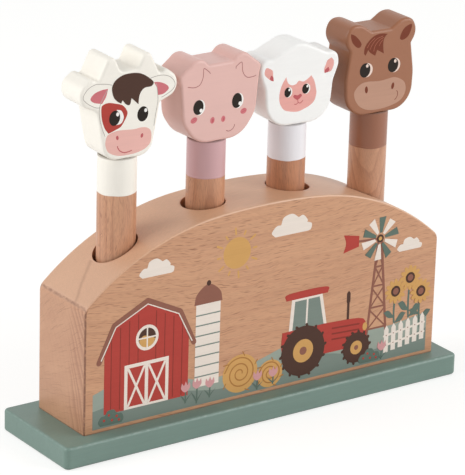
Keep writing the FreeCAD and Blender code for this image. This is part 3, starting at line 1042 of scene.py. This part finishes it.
EYE_INK = ink("eye", 34, 25, 18)
WHITE_INK = ink("white", 250, 247, 242)
ROSE_INK = ink("rose", 212, 120, 126)
DEEP_ROSE_INK = ink("deep rose", 196, 96, 101)
MUZZLE_INK = ink("muzzle pink", 240, 188, 178)
FINE_GREY_INK = ink("fine grey", 188, 182, 174)
painted_head("cow", COW_PAINT, COW_PAINT)
print_face("cow", 0.0005, 0.1497, -2.3, [
    (ROSE_INK, patch(
        (-12.2, 37.7, 0), (-15.9, 37.5), (-19.8, 36.3), (-22.1, 33.8), (-20.2, 31.7), (-15.5, 30.4, 0),
        (-13.3, 33.8))),
    (ROSE_INK, patch(
        (14, 37.5, 0), (17.2, 37.1), (20.8, 35.5), (22.6, 33.6), (21.9, 32.2), (19.4, 30.7),
        (16.4, 30.5, 0), (15.8, 34))),
    (FINE_GREY_INK, stroke(
        0.35, (-10, 39.3), (-13.5, 40.2), (-17.2, 40.7), (-19.3, 40.8), (-22.9, 39.5), (-25.4, 36.9),
        (-26.2, 34.6), (-25.2, 33), (-22.7, 30.9), (-19.1, 29), (-16.6, 28.6))),
    (FINE_GREY_INK, stroke(
        0.35, (12, 39.8), (15.2, 40.4), (19.3, 40.4), (22.9, 39.2), (25.4, 36.9), (26.2, 34.6),
        (25.2, 32.6), (22.2, 30.6), (18.6, 29.1))),
    (FINE_GREY_INK, stroke(0.3, (15.4, 36.5), (16.2, 31.5), (16.4, 27), (15.3, 21), (14.4, 15))),
    (FINE_GREY_INK, stroke(
        0.3, (-12.8, 36.9), (-15.3, 32.8), (-16.9, 28.5), (-16.7, 23), (-15, 17), (-13.6, 13.5))),
    (BRICK_INK, patch(
        (-15.8, 28.6), (-14.8, 29.8), (-11.9, 30.4), (-7.9, 29.5), (-3.9, 28.1), (-1.4, 25.2), (-1.1, 23),
        (-2.6, 20), (-4.7, 17.2), (-7.7, 15.9), (-11.6, 14.6, 0), (-13.6, 17.2), (-15.1, 21),
        (-15.8, 25.1))),
    (DARK_INK, patch(
        (-10, 37.1), (-9.3, 39.7), (-7.6, 41.7), (-4.2, 43.4), (-0.3, 43.9), (4.2, 43.6), (7.7, 42.4),
        (11.2, 40.1), (13.7, 37.6), (12.5, 35.7), (8.8, 35.4), (6.8, 33.9), (5.6, 31.4), (5.2, 27.4, 0),
        (3.5, 29), (1.2, 31.1, 0), (0.3, 27.9), (-1.7, 28.2), (-3.9, 30.7, 0), (-4.7, 29.1, 0),
        (-6.9, 30.5), (-9, 33))),
    (WHITE_INK, patch((-7.1, 26.3, 0), (-4.4, 25.3), (-3.1, 21.9), (-4.4, 19), (-7.2, 18.3, 0))),
    (EYE_INK, oval(-8.3, 22.1, 3.1, 3.9, -6)),
    (WHITE_INK, oval(-6.6, 23.9, 0.85, 1.05)),
    (EYE_INK, oval(7.85, 22.0, 3.15, 3.9, -6)),
    (WHITE_INK, oval(9.5, 23.7, 0.85, 1.0)),
    (MUZZLE_INK, patch(
        (-13.3, 10.5), (-12.3, 13.5), (-9.6, 14.8), (-5.2, 15.3), (2.7, 14.8), (6.7, 15.1), (10.2, 14.6),
        (12.5, 12.7), (13, 9.2), (12.2, 6.2), (9.5, 3.9), (4.5, 2.4), (-2, 2), (-7, 2.6), (-11.4, 4.8),
        (-13, 7.7))),
    (DEEP_ROSE_INK, oval(-6.6, 11.7, 0.75, 1.15, 12)),
    (DEEP_ROSE_INK, oval(7.5, 10.9, 0.75, 1.15, -14)),
    (DEEP_ROSE_INK, stroke(0.5, (-6.5, 7.2), (-6.1, 6.2), (-5, 4.7), (-2.5, 3.5), (0.5, 3.7), (1.6, 4.1))),
])

painted_head("pig", PIG_PAINT, PIG_SIDE_SHADE)
EAR_LINE_INK = ink("ear line", 176, 118, 116)
print_face("pig", 0.0010, 0.1500, 1.1, [
    (EAR_LINE_INK, stroke(
        0.42, (-20.3, 31.3), (-16.4, 30.5), (-13, 31.5), (-11.2, 35), (-11, 38.9), (-10.3, 39.5),
        (-7.8, 37.6), (-6.8, 36.4))),
    (EAR_LINE_INK, stroke(
        0.42, (9, 36.7), (9.4, 37.9), (12.4, 39.5), (12.9, 37.5), (13.3, 34.5), (14.6, 32.2), (16.7, 30.8),
        (20.2, 30.8), (21.7, 31.2))),
    (WHITE_INK, oval(-12.9, 19.6, 3.4, 4.0, -4)),
    (EYE_INK, oval(-13.65, 19.75, 3.15, 3.85, -4)),
    (WHITE_INK, oval(-12.0, 17.9, 0.95, 1.0)),
    (WHITE_INK, oval(10.9, 19.5, 3.4, 4.0, -4)),
    (EYE_INK, oval(10.15, 19.65, 3.05, 3.95, -4)),
    (WHITE_INK, oval(12.1, 17.9, 0.95, 1.0)),
    (ROSE_INK, oval(-16.2, 13.4, 2.1, 1.55, 18)),
    (ROSE_INK, oval(14.5, 13.5, 2.0, 1.5, 14)),
    (DEEP_ROSE_INK, stroke(0.3, (-17.4, 12.7), (-15, 13.7))),
    (DEEP_ROSE_INK, stroke(0.3, (-16.9, 13.9), (-15.3, 14.5))),
    (DEEP_ROSE_INK, stroke(0.3, (13.4, 12.9), (15.7, 13.6))),
    (DEEP_ROSE_INK, stroke(0.3, (13.8, 14.1), (15.3, 14.5))),
    (ROSE_INK, oval(-4.8, 11.6, 1.35, 1.75, -10)),
    (ROSE_INK, oval(1.9, 11.3, 1.3, 1.65, -8)),
    (DEEP_ROSE_INK, oval(-4.6, 11.4, 0.55, 1.05, -10, 14)),
    (DEEP_ROSE_INK, oval(2.1, 11.1, 0.5, 0.95, -8, 14)),
    (EAR_LINE_INK, stroke(0.42, (4.1, 4.8), (5.2, 4.3), (6.6, 4.4), (8.1, 5.2), (9, 6.5), (9.1, 7.2))),
])

painted_head("sheep", SHEEP_PAINT, SHEEP_PAINT)
SALMON_INK = ink("salmon", 238, 174, 165)
print_face("sheep", 0.0004, 0.1509, -4.2, [
    (SALMON_INK, patch(
        (-20.1, 32.6), (-18, 31.8), (-16.5, 30.5), (-16.2, 27.9), (-15.7, 25, 0), (-17.4, 25.6),
        (-19.5, 27.2), (-21.2, 29.2), (-21.1, 31.5))),
    (DEEP_ROSE_INK, patch((-17.4, 28.3, 0), (-16.1, 27.2), (-15.8, 25.2, 0), (-17.4, 25.7), (-18, 26.8))),
    (SALMON_INK, patch(
        (18.6, 33.4, 0), (20, 31.8), (20.1, 29.1), (18.7, 26.3), (16.6, 25.8), (14.7, 25.5, 0),
        (14.4, 27.6), (15.2, 29.8), (16.3, 32.2))),
    (DEEP_ROSE_INK, patch((14.8, 25.6, 0), (15, 27.2), (16.9, 28.6, 0), (17.6, 27), (16.6, 25.9))),
    (SALMON_INK, patch(
        (-8.3, 26.3, 0), (-7.1, 23), (-4.7, 21.5), (-2.2, 21.9), (-0.6, 23.4), (2, 22.7), (4.5, 23.7),
        (6.8, 25.4, 0), (8.8, 22), (10, 17.4), (10.2, 15.4), (9.2, 11.8), (6.7, 9.5), (3.4, 8.1), (-0.7, 7),
        (-5.8, 7.7), (-9.2, 9.1), (-11.5, 12.4), (-12.1, 15.8), (-11.7, 19.5), (-10.4, 23))),
    (WHITE_INK, oval(-6.6, 18.0, 2.25, 2.75, -6)),
    (EYE_INK, oval(-7.15, 18.05, 1.95, 2.6, -6)),
    (WHITE_INK, oval(-6.2, 19.3, 0.6, 0.7, 0, 14)),
    (WHITE_INK, oval(4.1, 18.6, 2.3, 2.75, -6)),
    (EYE_INK, oval(3.55, 18.65, 2.05, 2.6, -6)),
    (WHITE_INK, oval(4.6, 19.9, 0.6, 0.7, 0, 14)),
    (DEEP_ROSE_INK, patch(
        (-3.7, 15.2), (-3, 16.2), (-1.1, 15.7), (0.6, 16.3), (1.5, 15.3), (0.4, 14.1), (-1, 13.1, 0),
        (-2.6, 14))),
    (DEEP_ROSE_INK, stroke(0.35, (-1, 13.3), (-0.6, 11.7))),
    (DEEP_ROSE_INK, stroke(0.35, (-2.8, 11.2), (-1.8, 11), (-0.6, 11.7), (0.7, 11.4), (2.2, 12.6))),
])

painted_head("horse", HORSE_PAINT, HORSE_SIDE_SHADE)
MANE_INK = ink("mane brown", 120, 58, 38)
MANE_LINE_INK = ink("mane line", 160, 94, 72)
EYE_CREAM_INK = ink("eye cream", 240, 216, 202)
HORSE_MUZZLE_INK = ink("horse muzzle", 192, 149, 127)
print_face("horse", -0.0012, 0.1489, -1.2, [
    (MANE_INK, patch(
        (-20, 45.4, 0), (-17.4, 44.2), (-14.6, 41.6), (-13, 39.1), (-13.9, 37.4), (-16, 37.7),
        (-18.6, 40.3), (-19.8, 43.1))),
    (MANE_INK, patch(
        (19.2, 45.3), (18.3, 41.6), (16.6, 39.1), (14.5, 38), (12.8, 37.9), (11.7, 38.9), (12.6, 41.9),
        (14.6, 44.3), (17.4, 45.6))),
    (MANE_INK, patch(
        (3.7, 42.4, 0), (0.6, 43), (-2.5, 43), (-5.6, 42.1), (-8.7, 39.8), (-10.7, 37), (-11.1, 33.9),
        (-10.2, 32.4, 0), (-9.3, 33.8), (-8.5, 35.3, 0), (-7.3, 33.8), (-4, 31.6, 0), (-3.4, 32.8),
        (-2.8, 34.6, 0), (-0.4, 33.3), (1.6, 32.1, 0), (1.1, 35.8), (1.2, 39.4), (2.4, 41.5))),
    (MANE_LINE_INK, stroke(0.4, (0.5, 41.6), (-3.2, 40.6), (-5.8, 38.2), (-7.4, 35.4))),
    (MANE_LINE_INK, stroke(0.4, (1, 40.8), (-1.8, 39.6), (-4.2, 37), (-5, 34.2))),
    (MANE_LINE_INK, stroke(0.4, (0.6, 39.6), (-0.8, 38.2), (-1.6, 36.6))),
    (MANE_LINE_INK, stroke(0.4, (-4.6, 41.2), (-7.4, 39.2), (-9.2, 36.6))),
    (EYE_CREAM_INK, oval(-8.9, 24.5, 3.8, 3.8, -8)),
    (EYE_INK, oval(-10.0, 24.55, 3.35, 3.85, -8)),
    (EYE_CREAM_INK, oval(-8.7, 26.8, 0.8, 0.95)),
    (EYE_CREAM_INK, oval(8.9, 24.8, 3.75, 3.9, -8)),
    (EYE_INK, oval(8.0, 24.9, 3.35, 3.85, -8)),
    (EYE_CREAM_INK, oval(9.3, 27.0, 0.8, 0.95)),
    (HORSE_MUZZLE_INK, patch(
        (-16.4, 12.6), (-14.9, 15.6), (-11.8, 17.6), (-7.6, 18.1), (-3.3, 17.7), (1, 17.5), (4.8, 17.9),
        (9.6, 18.1), (14.7, 15.8), (16.7, 12.8), (16.7, 9.1), (14.2, 5.4), (9.4, 3.4), (1.9, 2.2),
        (-6.2, 2.5), (-11.7, 4.7), (-15.1, 8.4))),
    (MANE_INK, oval(-8.6, 13.8, 0.95, 1.9, 6)),
    (MANE_INK, oval(8.4, 13.6, 0.9, 1.8, -10)),
    (MANE_INK, stroke(0.36, (11.2, 10.6), (11.8, 9.4), (11.6, 7.6), (10.9, 6.5), (10.1, 5.8))),
])
